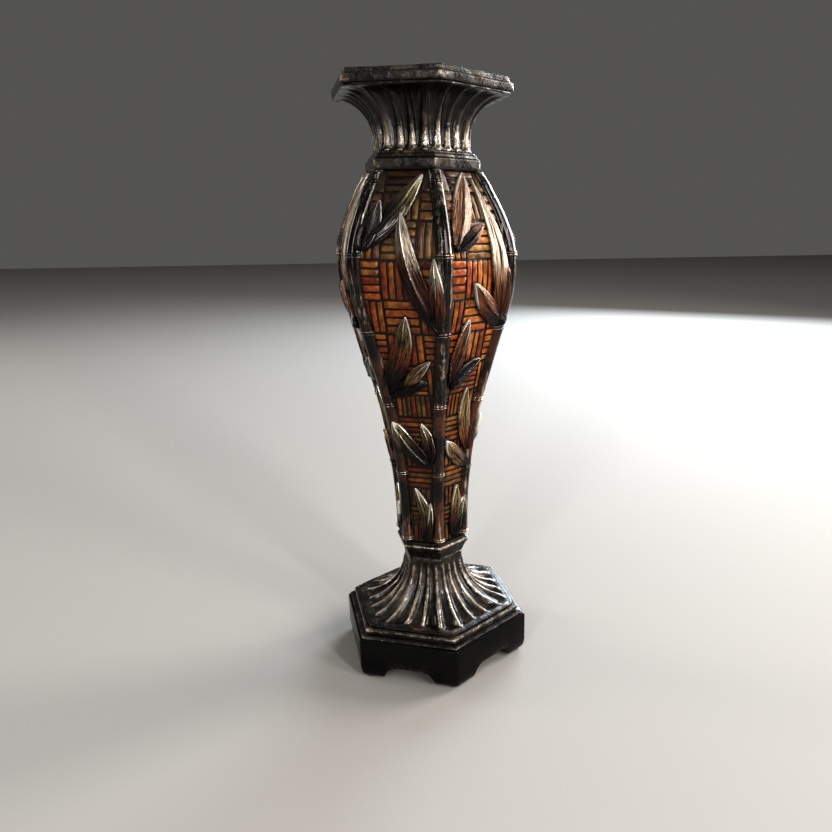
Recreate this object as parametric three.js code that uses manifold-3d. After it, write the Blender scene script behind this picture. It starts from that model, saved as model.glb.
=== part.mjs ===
// Hexagonal pillar candlestick: bamboo canes, woven panels and leaves on a slim bellied
// shaft, between a fluted neck and a fluted base, all clamped by one tie rod.
// Millimetres, +Z up, origin on the surface it stands on, one corner of the hexagon towards -Y.
import * as THREE from 'three';
import { mergeVertices } from 'three/addons/utils/BufferGeometryUtils.js';
import Module from 'manifold-3d';

const wasm = await Module();
wasm.setup();

const SIDES = 6;
const GAP = 0.3; // clearance between pieces that touch
const HALF_SIDE = Math.PI / SIDES;
const CORNER_TO_FLAT = Math.cos(HALF_SIDE); // centre-to-flat over centre-to-corner

// Heights of the seats between the stacked pieces
const Z = {
  felt: 1.2, plinth: 35, moulding: 42.6, base: 88, lowerCollar: 104,
  shaft: 394, upperCollar: 407, neck: 447, rim: 457,
};

const PLINTH = {
  corner: 81.8, bevel: 1.4, underside: 13, hollowRadius: 62,
  toe: { inset: 4, rise: 2.5, height: 9 },
  arch: { halfWidth: 25, toe: 5, crown: 13, crownHalfWidth: 11 },
};
const FELT = { radius: 6.5, centre: 70 };

// The fluted pieces flare from a waist to a lip as a quarter ellipse
const BASE = { waist: 25.4, cornerReach: 69.6, waistHeight: 86, lip: 44.6, swell: 1.02 };
const NECK = { waist: 36.7, cornerReach: 66.8, waistHeight: 417, lip: 445.3, swell: 1.03 };
const FLUTES = 24;
const FLUTE_DEPTH = { least: 0.8, perRadius: 0.045, fadeFrom: 0.6, fadeTo: 0.95 };
const RIM = { step: 66.5, band: 69.3, bandTop: 453.6, edge: 0.8 };
const PAN = { flange: 42, wall: 38, sheet: 1.2, floor: 447.6, seat: 1.7, dimple: 0.5, edge: 0.4 };
const SPIKE = { collar: 5, root: 2.2, height: 17, taper: 0.7, taperAt: 0.6 }; // taper of the root's radius
const ROD = { radius: 4, clearance: 0.6, lowEnd: 13.9, topEnd: 446 };
const ROD_POCKET = 12; // depth of the pockets for the rod's ends below the neck and above the hollow
const NUT = { acrossFlats: 13, height: 6.5, bore: 4.4 };
const WASHER = { radius: 9.5, thickness: 1.5, pocket: 11.5 };

// Reach of the canes' outer sides from the axis, at a corner of the shaft: [height, reach]
const SHAFT_REACH = [
  [98, 31], [131, 31.6], [163, 34.2], [195, 38.8], [215, 42.8], [245, 51.3], [280, 62],
  [310, 70.3], [328, 72.1], [345, 70.3], [363, 63.8], [381, 54.4], [394, 46.5],
];
const CANE_RADIUS = [[98, 4.2], [150, 4.4], [215, 4.8], [300, 5.8], [330, 6], [368, 5.5], [394, 4.6]];
const NODE_HEIGHTS = [108, 166, 224, 281, 336.5, 386];
const NODE_RING = { rise: 0.8, half: 1.6 };
const PANEL = { behindReach: 3, thickness: 2.5 };

const curveThrough = (points) => {
  const heights = points.map(([z]) => z);
  const values = points.map(([, value]) => value);
  const curve = new THREE.CubicInterpolant(heights, values, 1);
  return (z) => curve.evaluate(z)[0];
};
const shaftReach = curveThrough(SHAFT_REACH);
const caneRadius = curveThrough(CANE_RADIUS);
const caneCentre = (z) => shaftReach(z) - caneRadius(z);
const panelFlat = (z) => (shaftReach(z) - PANEL.behindReach) * CORNER_TO_FLAT;

// Leaves of the two kinds of face, which alternate round the shaft. A leaf runs from its tip
// to its base, both as [distance across the face from its middle, height]; bow bends it sideways.
const LEAVES = {
  A: {
    upper_leaves: [
      { tip: [14, 391], base: [-27, 345], width: 19, bow: 0.05 },
      { tip: [-17, 373], base: [-26, 341], width: 12, bow: 0.1 },
    ],
    long_leaves: [
      { tip: [1, 364], base: [23, 284], width: 15, bow: -0.06 },
      { tip: [23, 334], base: [24, 284], width: 10, bow: 0.03 },
    ],
    middle_leaves: [
      { tip: [3, 294], base: [-13, 237], width: 15, bow: 0.06 },
      { tip: [16, 260], base: [-12, 239], width: 8, bow: -0.05 },
      { tip: [6, 250], base: [-14, 237], width: 8, bow: 0.05 },
    ],
    lower_leaves: [
      { tip: [-14, 211], base: [9, 176], width: 13, bow: -0.08 },
      { tip: [5, 210], base: [10, 175], width: 8, bow: 0.05 },
      { tip: [10, 185], base: [4, 106], width: 3, bow: 0.03 },
      { tip: [-4, 153], base: [2, 110], width: 9, bow: 0.08 },
      { tip: [8, 141], base: [3, 108], width: 6, bow: 0.03 },
    ],
  },
  B: {
    upper_leaves: [
      { tip: [2, 393], base: [-22, 343], width: 14, bow: 0.03 },
      { tip: [5, 357], base: [-23, 340], width: 7, bow: 0.03 },
    ],
    long_leaves: [
      { tip: [9, 389], base: [21, 290], width: 14, bow: 0.02 },
      { tip: [-7, 317], base: [24, 287], width: 14, bow: -0.06 },
    ],
    middle_leaves: [
      { tip: [-8, 290], base: [-15, 242], width: 12, bow: 0.03 },
      { tip: [10, 258], base: [-16, 240], width: 9, bow: 0.04 },
    ],
    lower_leaves: [
      { tip: [3, 236], base: [11, 182], width: 11, bow: -0.03 },
      { tip: [-12, 195], base: [10, 172], width: 10, bow: -0.06 },
      { tip: [10, 182], base: [4, 106], width: 3, bow: 0.03 },
      { tip: [3, 153], base: [1, 112], width: 9, bow: 0.05 },
      { tip: [9, 140], base: [3, 108], width: 6, bow: 0.03 },
    ],
  },
};
const LEAF = { lift: 0.75, layer: 0.3, edge: 1, rib: 2.6, clearance: 0.5 };
// A leaf's half width is a sine arch, fullest nearer its base and cut off short of both ends
const LEAF_ARCH = { start: 0.04, span: 0.86, lean: 0.8 };
const LEAF_STEP = { belly: 15, stem: 28, bellyFoot: 240 }; // finer where the shaft curves faster

const paint = (color, metalness, roughness) =>
  new THREE.MeshStandardMaterial({ color, metalness, roughness });
const MATERIAL = {
  bronze: paint(0x6b5a43, 0.6, 0.4),
  cane: paint(0x2a201a, 0.2, 0.3),
  weave: paint(0xa8622a, 0.1, 0.4),
  core: paint(0x17110d, 0, 0.6),
  leaf: paint(0x5a4028, 0.4, 0.3),
  black: paint(0x0c0b0b, 0, 0.25),
  brass: paint(0xb08d4a, 0.9, 0.3),
  steel: paint(0x8d8f92, 0.9, 0.4),
  felt: paint(0x1d2a22, 0, 0.95),
};

const candlestick = new THREE.Group();
function add(name, geometry, material) {
  const mesh = new THREE.Mesh(geometry, material);
  mesh.name = name;
  candlestick.add(mesh);
}

// ---- Geometry helpers ----

// A closed body through rings of points, one above the other along its length
function loft(rings) {
  const count = rings[0].length;
  const points = rings.flat();
  const middle = (ring) => ring.reduce((sum, p) => sum.add(p), new THREE.Vector3())
    .divideScalar(count);
  const first = points.push(middle(rings[0])) - 1;
  const last = points.push(middle(rings.at(-1))) - 1;
  const top = (rings.length - 1) * count;
  const index = [];
  for (let i = 0; i < count; i++) {
    const next = (i + 1) % count;
    for (let start = 0; start < top; start += count) {
      index.push(start + i, start + next, start + count + next);
      index.push(start + i, start + count + next, start + count + i);
    }
    index.push(first, next, i, last, top + i, top + next);
  }
  const geometry = new THREE.BufferGeometry().setFromPoints(points);
  geometry.setIndex(volumeSign(points, index) < 0 ? index.reverse() : index);
  return geometry;
}

function volumeSign(points, index) {
  let volume = 0;
  for (let i = 0; i < index.length; i += 3) {
    const [a, b, c] = [0, 1, 2].map((corner) => points[index[i + corner]]);
    volume += a.dot(new THREE.Vector3().crossVectors(b, c));
  }
  return Math.sign(volume);
}

// A profile of [radius, height] pairs turned about Z; six segments give a hexagon
function turned(profile, segments) {
  const points = [...profile, profile[0]].map(([r, z]) => new THREE.Vector2(r, z));
  return new THREE.LatheGeometry(points, segments).rotateX(Math.PI / 2);
}

// A turned ring or, with bore 0, a turned disc
function disc(radius, bore, low, high, segments = 16) {
  return turned([[bore, low], [radius, low], [radius, high], [bore, high]], segments);
}

function solid(geometry) {
  const plain = geometry.clone();
  plain.deleteAttribute('normal');
  plain.deleteAttribute('uv');
  const merged = mergeVertices(plain, 1e-4);
  return new wasm.Manifold(new wasm.Mesh({
    numProp: 3,
    vertProperties: new Float32Array(merged.attributes.position.array),
    triVerts: new Uint32Array(merged.index.array),
  }));
}

function shape(manifold) {
  const mesh = manifold.getMesh();
  const geometry = new THREE.BufferGeometry();
  geometry.setAttribute('position', new THREE.BufferAttribute(mesh.vertProperties, 3));
  geometry.setIndex(new THREE.BufferAttribute(mesh.triVerts, 1));
  return geometry;
}

// Cuts a round hole of the given radius about the Z axis between two heights
function bored(body, radius, low, high) {
  return body.subtract(solid(new THREE.CylinderGeometry(radius, radius, high - low, 24)
    .rotateX(Math.PI / 2).translate(0, 0, (low + high) / 2)));
}

const rodHole = (geometry, low, high) =>
  bored(solid(geometry), ROD.radius + ROD.clearance, low - 1, high + 1);

// ---- Fluted neck and base ----

// A hexagonal ring of a flare, from its waist (part 0) to its lip (part 1). The flutes are cut
// square to the surface, with a sharp ridge between each pair, and fade out towards the lip.
function flutedRing({ waist, cornerReach, waistHeight, lip, swell }, part) {
  const { least, perRadius, fadeFrom, fadeTo } = FLUTE_DEPTH;
  const turn = (part * Math.PI) / 2;
  const [spread, rise] = [cornerReach - waist, lip - waistHeight];
  const corner = swell * (cornerReach - spread * Math.cos(turn));
  const z = waistHeight + rise * Math.sin(turn);
  const out = new THREE.Vector2(Math.abs(rise) * Math.cos(turn), -Math.sign(rise) * spread * Math.sin(turn))
    .normalize();
  const fade = 1 - THREE.MathUtils.clamp((part - fadeFrom) / (fadeTo - fadeFrom), 0, 1);
  const depth = fade * (least + perRadius * corner);
  return hexagonalRing(corner, z).map((point, i) => {
    const cut = i % 2 ? 0 : depth;
    const radius = Math.hypot(point.x, point.y);
    const narrower = (radius - cut * out.x) / radius;
    return new THREE.Vector3(point.x * narrower, point.y * narrower, z - cut * out.y);
  });
}

// The points of a plain hexagon, two for each flute
function hexagonalRing(corner, z) {
  return Array.from({ length: 2 * FLUTES }, (_, i) => {
    const angle = (i * Math.PI) / FLUTES;
    const fromFlat = ((angle + HALF_SIDE) % (2 * HALF_SIDE)) - HALF_SIDE;
    const radius = (corner * CORNER_TO_FLAT) / Math.cos(fromFlat);
    return new THREE.Vector3(radius * Math.cos(angle), radius * Math.sin(angle), z);
  });
}

const FLARE_PARTS = [0, 0.14, 0.3, 0.45, 0.6, 0.78, 1];
const flutedRings = (form) => FLARE_PARTS.map((part) => flutedRing(form, part));

function flutedNeck() {
  const { waist, swell, cornerReach } = NECK;
  const foot = Z.upperCollar + GAP;
  const rings = [
    hexagonalRing(swell * waist, foot), hexagonalRing(swell * waist, foot + 2), ...flutedRings(NECK),
    hexagonalRing(swell * cornerReach, Z.neck),
  ];
  const pocket = Z.neck - ROD_POCKET;
  const body = rodHole(loft(rings), Z.upperCollar, Z.neck);
  add('fluted_neck', shape(bored(body, WASHER.pocket, pocket, Z.neck + 1)), MATERIAL.bronze);
  return pocket;
}

function flutedBase() {
  const { waist, swell, cornerReach } = BASE;
  const top = Z.base - GAP;
  const rings = [
    hexagonalRing(swell * waist, top), ...flutedRings(BASE),
    hexagonalRing(swell * cornerReach + 1, Z.moulding + GAP),
  ];
  add('fluted_base', shape(rodHole(loft(rings), Z.moulding, Z.base)), MATERIAL.bronze);
}

// ---- Hexagonal mouldings and rim ----

function hexPiece(name, profile, material) {
  const [low, high] = [profile[0][1], profile.at(-1)[1]];
  const solidProfile = [[0, low], ...profile, [0, high]];
  add(name, shape(rodHole(turned(solidProfile, SIDES), low, high)), material);
}

function baseMoulding() {
  hexPiece('base_moulding', [
    [79.4, Z.plinth + GAP], [79.4, 36.4], [76.4, 38], [74.4, 38.9], [75.2, 40], [75, 41.6],
    [73, Z.moulding],
  ], MATERIAL.bronze);
}

function lowerCollar() {
  hexPiece('lower_collar', [
    [26.2, Z.base], [27.4, 90.5], [29.8, 94.5], [31.2, 98], [31.7, 100.5], [31, 102.6],
    [29.5, Z.lowerCollar],
  ], MATERIAL.bronze);
}

function upperCollar() {
  hexPiece('upper_collar', [
    [43.5, Z.shaft + GAP], [45, 396.2], [45, 402.2], [42.2, 403.2], [42.2, 405],
    [40, Z.upperCollar],
  ], MATERIAL.bronze);
}

function topPlate() {
  const { step, band, bandTop, edge } = RIM;
  const low = Z.neck + GAP;
  const plate = turned([
    [0, low], [band - edge, low], [band, low + edge], [band, bandTop - edge],
    [band - edge, bandTop], [step, bandTop], [step, Z.rim - edge], [step - edge, Z.rim],
    [0, Z.rim],
  ], SIDES);
  const well = bored(solid(plate), PAN.wall + PAN.sheet, low - 1, Z.rim + 1);
  const seated = bored(well, PAN.flange + 2 * GAP, Z.rim - PAN.seat, Z.rim + 1);
  add('top_plate', shape(seated), MATERIAL.bronze);
}

// ---- Candle pan and spike ----

function candlePan() {
  const { flange, wall, sheet, floor, seat, dimple, edge } = PAN;
  const { collar, root, height, taper, taperAt } = SPIKE;
  const rest = Z.rim - seat + GAP;
  const inner = wall - sheet;
  const top = floor + sheet;
  const seatFloor = top - dimple; // the spike's collar sits in a shallow dimple
  add('candle_pan', turned([
    [0, floor], [wall - sheet, floor], [wall, top], [wall, rest], [flange, rest],
    [flange, rest + sheet], [inner + edge, rest + sheet], [inner, rest + sheet - edge],
    [inner, top], [collar + GAP, top], [collar + GAP, seatFloor], [0, seatFloor],
  ], 24), MATERIAL.brass);
  const foot = seatFloor + GAP;
  add('pricket_spike', turned([
    [0, foot], [collar, foot], [collar, foot + sheet], [root, foot + 2 * sheet],
    [root * taper, foot + height * taperAt], [0, foot + height],
  ], 12), MATERIAL.steel);
}

// ---- Plinth on six bracket feet ----

// The opening between two feet: round toes, then a curve up to a flat crown
function archOutline() {
  const { halfWidth, toe, crown, crownHalfWidth } = PLINTH.arch;
  const outline = new THREE.Shape();
  const ankle = halfWidth - 0.8 * toe;
  outline.moveTo(-halfWidth - toe / 2, 0);
  outline.quadraticCurveTo(-ankle - toe / 4, 0, -ankle, toe);
  outline.quadraticCurveTo(-ankle + toe / 3, crown, -crownHalfWidth, crown);
  outline.lineTo(crownHalfWidth, crown);
  outline.quadraticCurveTo(ankle - toe / 3, crown, ankle, toe);
  outline.quadraticCurveTo(ankle + toe / 4, 0, halfWidth + toe / 2, 0);
  return outline;
}

function plinth() {
  const { corner, bevel, underside, hollowRadius, toe } = PLINTH;
  const low = Z.felt + GAP;
  const block = turned([
    [0, low], [corner - toe.inset, low], [corner - toe.inset / 4, low + toe.rise],
    [corner, toe.height], [corner, Z.plinth - bevel],
    [corner - bevel, Z.plinth], [0, Z.plinth],
  ], SIDES);
  let body = rodHole(block, low, Z.plinth);
  body = bored(body, hollowRadius, low - 1, underside);
  const pocketCeiling = underside + ROD_POCKET - 2;
  body = bored(body, WASHER.pocket, low - 1, pocketCeiling);
  const across = 2 * corner;
  for (let pair = 0; pair < SIDES / 2; pair++) {
    const arch = new THREE.ExtrudeGeometry(archOutline(), {
      depth: across, bevelEnabled: false, curveSegments: 3,
    });
    arch.translate(0, 0, -across / 2).rotateX(Math.PI / 2).rotateZ(pair * 2 * HALF_SIDE + Math.PI / 2);
    body = body.subtract(solid(arch));
  }
  add('plinth', shape(body), MATERIAL.black);
  return pocketCeiling;
}

// ---- Tie rod and its fastenings ----

function fastenings(pocketFloor, pocketCeiling) {
  const rod = new THREE.CylinderGeometry(ROD.radius, ROD.radius, ROD.topEnd - ROD.lowEnd, 16);
  rod.rotateX(Math.PI / 2).translate(0, 0, (ROD.topEnd + ROD.lowEnd) / 2);
  add('tie_rod', rod, MATERIAL.steel);
  const nutBlank = NUT.acrossFlats / 2 / CORNER_TO_FLAT;
  const stacks = [['top', pocketFloor, 1], ['bottom', pocketCeiling, -1]];
  for (const [end, seat, away] of stacks) {
    const washer = seat + away * (GAP + WASHER.thickness / 2);
    const nut = washer + away * (WASHER.thickness / 2 + GAP + NUT.height / 2);
    add(`${end}_washer`, disc(WASHER.radius, NUT.bore, washer - WASHER.thickness / 2,
      washer + WASHER.thickness / 2), MATERIAL.steel);
    const nutBody = solid(disc(nutBlank, 0, nut - NUT.height / 2, nut + NUT.height / 2, SIDES));
    add(`${end}_nut`, shape(bored(nutBody, NUT.bore, nut - NUT.height, nut + NUT.height)), MATERIAL.steel);
  }
}

// ---- Shaft: core, panels, canes and leaves ----

const levels = (low, high, steps) =>
  Array.from({ length: steps + 1 }, (_, i) => low + ((high - low) * i) / steps);
const SHAFT_LOW = Z.lowerCollar + GAP;
const SHAFT_LEVELS = levels(SHAFT_LOW, Z.shaft, 16);
const faceAngle = (face) => -2 * Math.PI / 3 + (face - 1) * 2 * HALF_SIDE;
const cornerAngle = (face) => faceAngle(face) + HALF_SIDE;

// A point of a face: across it from its middle, its height, and proud of the panel's front
function onFace(face, across, z, proud) {
  const angle = faceAngle(face);
  const out = panelFlat(z) + proud;
  return new THREE.Vector3(
    out * Math.cos(angle) - across * Math.sin(angle),
    out * Math.sin(angle) + across * Math.cos(angle),
    z,
  );
}

function shaftCore() {
  const rings = SHAFT_LEVELS.map((z) => {
    const flat = panelFlat(z) - PANEL.thickness - GAP;
    const cornerCut = caneCentre(z) - caneRadius(z) - NODE_RING.rise - GAP;
    const half = (cornerCut - flat * CORNER_TO_FLAT) / Math.sin(HALF_SIDE);
    return Array.from({ length: 2 * SIDES }, (_, i) => {
      const angle = Math.floor(i / 2) * 2 * HALF_SIDE;
      const across = i % 2 ? half : -half;
      return new THREE.Vector3(flat * Math.cos(angle) - across * Math.sin(angle),
        flat * Math.sin(angle) + across * Math.cos(angle), z);
    });
  });
  add('shaft_core', shape(rodHole(loft(rings), SHAFT_LOW, Z.shaft)), MATERIAL.core);
}

// Half the width of a face between the canes
const panelEdge = (z) => caneCentre(z) / 2 - caneRadius(z) - NODE_RING.rise - GAP;

function wovenPanel(face) {
  const rings = SHAFT_LEVELS.map((z) => [
    onFace(face, -panelEdge(z), z, -PANEL.thickness), onFace(face, panelEdge(z), z, -PANEL.thickness),
    onFace(face, panelEdge(z), z, 0), onFace(face, -panelEdge(z), z, 0),
  ]);
  add(`woven_panel_${face}`, loft(rings), MATERIAL.weave);
}

const CANE_SIDES = 6;
function bambooCane(face) {
  const nodes = NODE_HEIGHTS.flatMap((z) => [z - NODE_RING.half, z, z + NODE_RING.half]);
  const clear = (z) => NODE_HEIGHTS.every((node) => Math.abs(node - z) > 4);
  const between = SHAFT_LEVELS.filter((z) => clear(z) && z < Z.shaft);
  const heights = [...nodes, ...between, Z.shaft].sort((a, b) => a - b);
  const corner = cornerAngle(face);
  const rings = heights.map((z) => {
    const radius = caneRadius(z) + (NODE_HEIGHTS.includes(z) ? NODE_RING.rise : 0);
    return Array.from({ length: CANE_SIDES }, (_, i) => {
      const turn = corner + (i * 2 * Math.PI) / CANE_SIDES;
      return new THREE.Vector3(caneCentre(z) * Math.cos(corner) + radius * Math.cos(turn),
        caneCentre(z) * Math.sin(corner) + radius * Math.sin(turn), z);
    });
  });
  add(`bamboo_cane_${face}`, loft(rings), MATERIAL.cane);
}

// A low roof-shaped leaf that lies on the panel, pressed in between the canes
function leafBody(face, { tip, base, width, bow }, layer, fatter = 0) {
  const [s0, z0] = tip;
  const [run, drop] = [base[0] - s0, base[1] - z0];
  const length = Math.hypot(run, drop);
  const [sideS, sideZ] = [-drop / length, run / length];
  const step = z0 > LEAF_STEP.bellyFoot ? LEAF_STEP.belly : LEAF_STEP.stem;
  const rings = levels(0, 1, Math.max(2, Math.round(length / step))).map((t) => {
    const arch = (LEAF_ARCH.start + LEAF_ARCH.span * t) ** LEAF_ARCH.lean;
    const half = (width / 2) * Math.sin(Math.PI * arch) + fatter;
    const bend = bow * length * Math.sin(Math.PI * t);
    const [s, z] = [s0 + run * t + sideS * bend, z0 + drop * t + sideZ * bend];
    const place = (aside, proud) => {
      const height = z + sideZ * aside;
      const limit = panelEdge(height);
      return onFace(face, THREE.MathUtils.clamp(s + sideS * aside, -limit, limit), height, proud);
    };
    const under = LEAF.lift + layer * LEAF.layer - fatter;
    const top = LEAF.lift + layer * LEAF.layer + fatter;
    return [place(-half, under), place(half, under), place(half, top + LEAF.edge),
      place(0, top + LEAF.rib), place(-half, top + LEAF.edge)];
  });
  return solid(loft(rings));
}

function leafSprays(face) {
  const earlier = [];
  for (const [spray, leaves] of Object.entries(LEAVES[face % 2 ? 'A' : 'B'])) {
    const joined = leaves.map((leaf, layer) => leafBody(face, leaf, layer)).reduce((a, b) => a.add(b));
    const clear = earlier.reduce((body, other) => body.subtract(other), joined);
    add(`${spray}_${face}`, shape(clear), MATERIAL.leaf);
    earlier.push(...leaves.map((leaf, layer) => leafBody(face, leaf, layer, LEAF.clearance)));
  }
}

// ---- Assembly ----

for (let foot = 1; foot <= SIDES; foot++) {
  const angle = cornerAngle(foot);
  const pad = new THREE.CylinderGeometry(FELT.radius, FELT.radius, Z.felt, 12).rotateX(Math.PI / 2);
  pad.translate(FELT.centre * Math.cos(angle), FELT.centre * Math.sin(angle), Z.felt / 2);
  add(`felt_pad_${foot}`, pad, MATERIAL.felt);
}
const pocketCeiling = plinth();
baseMoulding();
flutedBase();
lowerCollar();
shaftCore();
for (let face = 1; face <= SIDES; face++) {
  wovenPanel(face);
  bambooCane(face);
  leafSprays(face);
}
upperCollar();
const pocketFloor = flutedNeck();
topPlate();
candlePan();
fastenings(pocketFloor, pocketCeiling);

export default candlestick;
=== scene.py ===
import math
import random
from collections import namedtuple

import bmesh
import bpy
import numpy as np
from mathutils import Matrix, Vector


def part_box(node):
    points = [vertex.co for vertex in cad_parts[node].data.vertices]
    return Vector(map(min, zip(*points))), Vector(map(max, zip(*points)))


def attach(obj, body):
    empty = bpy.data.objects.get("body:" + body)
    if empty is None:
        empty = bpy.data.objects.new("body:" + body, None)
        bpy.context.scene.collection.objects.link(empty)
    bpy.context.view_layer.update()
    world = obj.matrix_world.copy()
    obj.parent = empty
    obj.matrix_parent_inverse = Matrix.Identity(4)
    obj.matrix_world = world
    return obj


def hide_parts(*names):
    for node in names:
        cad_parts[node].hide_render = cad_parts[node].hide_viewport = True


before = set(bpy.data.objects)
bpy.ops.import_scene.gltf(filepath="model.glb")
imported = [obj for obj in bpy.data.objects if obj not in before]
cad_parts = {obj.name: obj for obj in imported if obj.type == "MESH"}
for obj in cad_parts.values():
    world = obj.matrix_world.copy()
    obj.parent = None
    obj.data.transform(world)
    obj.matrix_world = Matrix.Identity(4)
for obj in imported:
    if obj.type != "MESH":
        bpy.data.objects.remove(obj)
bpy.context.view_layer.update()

# Looks of the hexagonal candlestick: bamboo canes, woven panels and leaves between a fluted
# neck and a fluted base. Lengths are in millimetres until a mesh is made, then in metres.
# A profile's rows are (reach from the axis, height, rounding of that corner).

MM = 0.001
SIDES = 6
HALF_SIDE = math.pi / SIDES
TO_FLAT = math.cos(HALF_SIDE)  # centre-to-flat over centre-to-corner
FACES = range(1, SIDES + 1)

random.seed(7)


def heights_of(node):
    """Heights of the lowest and the highest point of a CAD node."""
    lowest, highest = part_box(node)
    return lowest.z / MM, highest.z / MM


# ---- Camera, floor and light ----

EYE = (-118.6, -565.3, 360.6)
LOOK_HEADING = math.radians(72.35)  # from +X towards +Y
LOOK_DOWN = math.radians(16.47)
LENS, SENSOR_WIDTH = 31.38, 36
SHIFT = (-0.1012, 0.0219)
NEAREST_SEEN = 10

# Name: place, size across and up, watts and colour, with places and sizes in metres
LIGHTS = {
    "window_right": ((2.05, 0.25, 0.95), (0.9, 1.5), 84, (1.0, 0.94, 0.9)),
    "window_front": ((1.3, -1.6, 0.95), (0.45, 1.5), 30, (1.0, 0.97, 0.94)),
    "strip_front": ((0.68, -1.85, 1.0), (0.08, 1.5), 36, (1.0, 0.98, 0.96)),
    "window_back": ((1.4, 1.75, 1.0), (1.2, 1.2), 84, (0.82, 0.91, 1.0)),
    "strip_left": ((-1.2, -1.72, 0.95), (0.06, 1.5), 24, (1.0, 0.98, 0.95)),
    "window_left": ((-2.0, 1.4, 0.95), (0.5, 1.4), 24, (1.0, 0.93, 0.84)),
    "ceiling": ((0.0, 0.5, 4.0), (7, 7), 80, (1.0, 1.0, 1.0)),
}
LIT_POINT = (0, 0, 0.26)
SKY_COLOUR, SKY_STRENGTH = (1.0, 0.99, 0.97, 1), 0.14
PICTURE_GAMMA = 0.8
FLOOR_SIZE = 12


def make_camera():
    camera = bpy.data.objects.new("camera", bpy.data.cameras.new("camera"))
    bpy.context.scene.collection.objects.link(camera)
    camera.location = Vector(EYE) * MM
    camera.rotation_euler = (math.pi / 2 - LOOK_DOWN, 0, LOOK_HEADING - math.pi / 2)
    camera.data.lens = LENS
    camera.data.sensor_width = SENSOR_WIDTH
    camera.data.shift_x, camera.data.shift_y = SHIFT
    camera.data.clip_start = NEAREST_SEEN * MM
    bpy.context.scene.camera = camera


def area_light(name, place, size, power, colour):
    light = bpy.data.lights.new(name, "AREA")
    light.shape = "RECTANGLE"
    light.size, light.size_y = size
    light.energy = power
    light.color = colour
    lamp = bpy.data.objects.new(name, light)
    bpy.context.scene.collection.objects.link(lamp)
    lamp.location = place
    lamp.rotation_euler = (Vector(LIT_POINT) - Vector(place)).to_track_quat("-Z", "Y").to_euler()
    lamp.visible_camera = False


def make_lights():
    for name, settings in LIGHTS.items():
        area_light(name, *settings)
    world = bpy.data.worlds.new("studio")
    bpy.context.scene.world = world
    world.use_nodes = True
    background = world.node_tree.nodes["Background"]
    background.inputs["Color"].default_value = SKY_COLOUR
    background.inputs["Strength"].default_value = SKY_STRENGTH
    bpy.context.scene.view_settings.view_transform = "Standard"
    bpy.context.scene.view_settings.gamma = PICTURE_GAMMA


# ---- Shader helpers ----


class Paint:
    """A material whose nodes are added one call at a time. Its textures are laid out in metres."""

    def __init__(self, name, **sockets):
        self.material = bpy.data.materials.new(name)
        self.material.use_nodes = True
        self.tree = self.material.node_tree
        self.shader = self.tree.nodes["Principled BSDF"]
        self.coords = self.tree.nodes.new("ShaderNodeTexCoord").outputs["Object"]
        for socket, value in sockets.items():
            self.shader.inputs[socket.replace("_", " ")].default_value = value

    def node(self, kind, inputs=(), **settings):
        made = self.tree.nodes.new("ShaderNode" + kind)
        for key, value in settings.items():
            setattr(made, key, value)
        for socket, value in dict(inputs).items():
            self.plug(made.inputs[socket], value)
        return made

    def plug(self, socket, value):
        if isinstance(value, bpy.types.NodeSocket):
            self.tree.links.new(value, socket)
        else:
            socket.default_value = value

    def attribute(self, name, output="Fac"):
        return self.node("Attribute", attribute_name=name).outputs[output]

    def noise(self, scale, detail=4, rough=0.6, coords=None):
        """Noise over the piece or over other coordinates, stretched if scale is three numbers."""
        coords = coords or self.coords
        if isinstance(scale, tuple):
            coords = self.node("Mapping", {"Vector": coords, "Scale": scale}).outputs[0]
            scale = 1
        inputs = {"Vector": coords, "Scale": scale, "Detail": detail, "Roughness": rough}
        return self.node("TexNoise", inputs).outputs["Fac"]

    def math(self, operation, *values):
        return self.node("Math", enumerate(values), operation=operation).outputs[0]

    def blend_noise(self, first, share, second):
        """A share of the first noise and the rest of the second."""
        return self.math("MULTIPLY_ADD", first, share, self.math("MULTIPLY", second, 1 - share))

    def spread(self, value, width):
        """A noise with its middle moved to 0, widened."""
        return self.math("MULTIPLY", self.math("SUBTRACT", value, 0.5), width)

    def step(self, value, start, end, before=0.0, after=1.0):
        """Goes smoothly from before to after while the value goes from start to end."""
        inputs = {"Value": value, "From Min": start, "From Max": end, "To Min": before, "To Max": after}
        return self.node("MapRange", inputs, interpolation_type="SMOOTHSTEP").outputs[0]

    def mix(self, factor, first, second, blend="MIX"):
        made = self.node("Mix", data_type="RGBA", blend_type=blend)
        for socket, value in ((0, factor), (6, first), (7, second)):
            self.plug(made.inputs[socket], value)
        return made.outputs[2]

    def ramp(self, factor, stops):
        made = self.node("ValToRGB", {"Fac": factor})
        elements = made.color_ramp.elements
        while len(elements) < len(stops):
            elements.new(0.5)
        for element, (place, colour) in zip(elements, stops):
            element.position = place
            element.color = (*colour, 1)
        return made.outputs["Color"]

    def bump(self, height, distance, strength, under=None):
        inputs = {"Height": height, "Distance": distance * MM, "Strength": strength}
        if under is not None:
            inputs["Normal"] = under
        return self.node("Bump", inputs).outputs[0]

    def set(self, **sockets):
        for socket, value in sockets.items():
            self.plug(self.shader.inputs[socket.replace("_", " ")], value)
        return self.material


def rgb(red, green, blue):
    return (red, green, blue, 1)


# Black for the dark wash in recesses, and for painted shade
SOOT_AND_SHADE = rgb(0.003, 0.002, 0.002)


def worn_and_highlit(paint, speck, start, end, width):
    """Where the paint is rubbed through and where highlight is painted: on ridges and on marked places, in
    specks.
    """
    exposed = paint.math("MULTIPLY_ADD", paint.attribute("relief"), 0.7, paint.attribute("rub"))
    return paint.step(paint.math("ADD", exposed, paint.spread(speck, width)), start, end)


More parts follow.
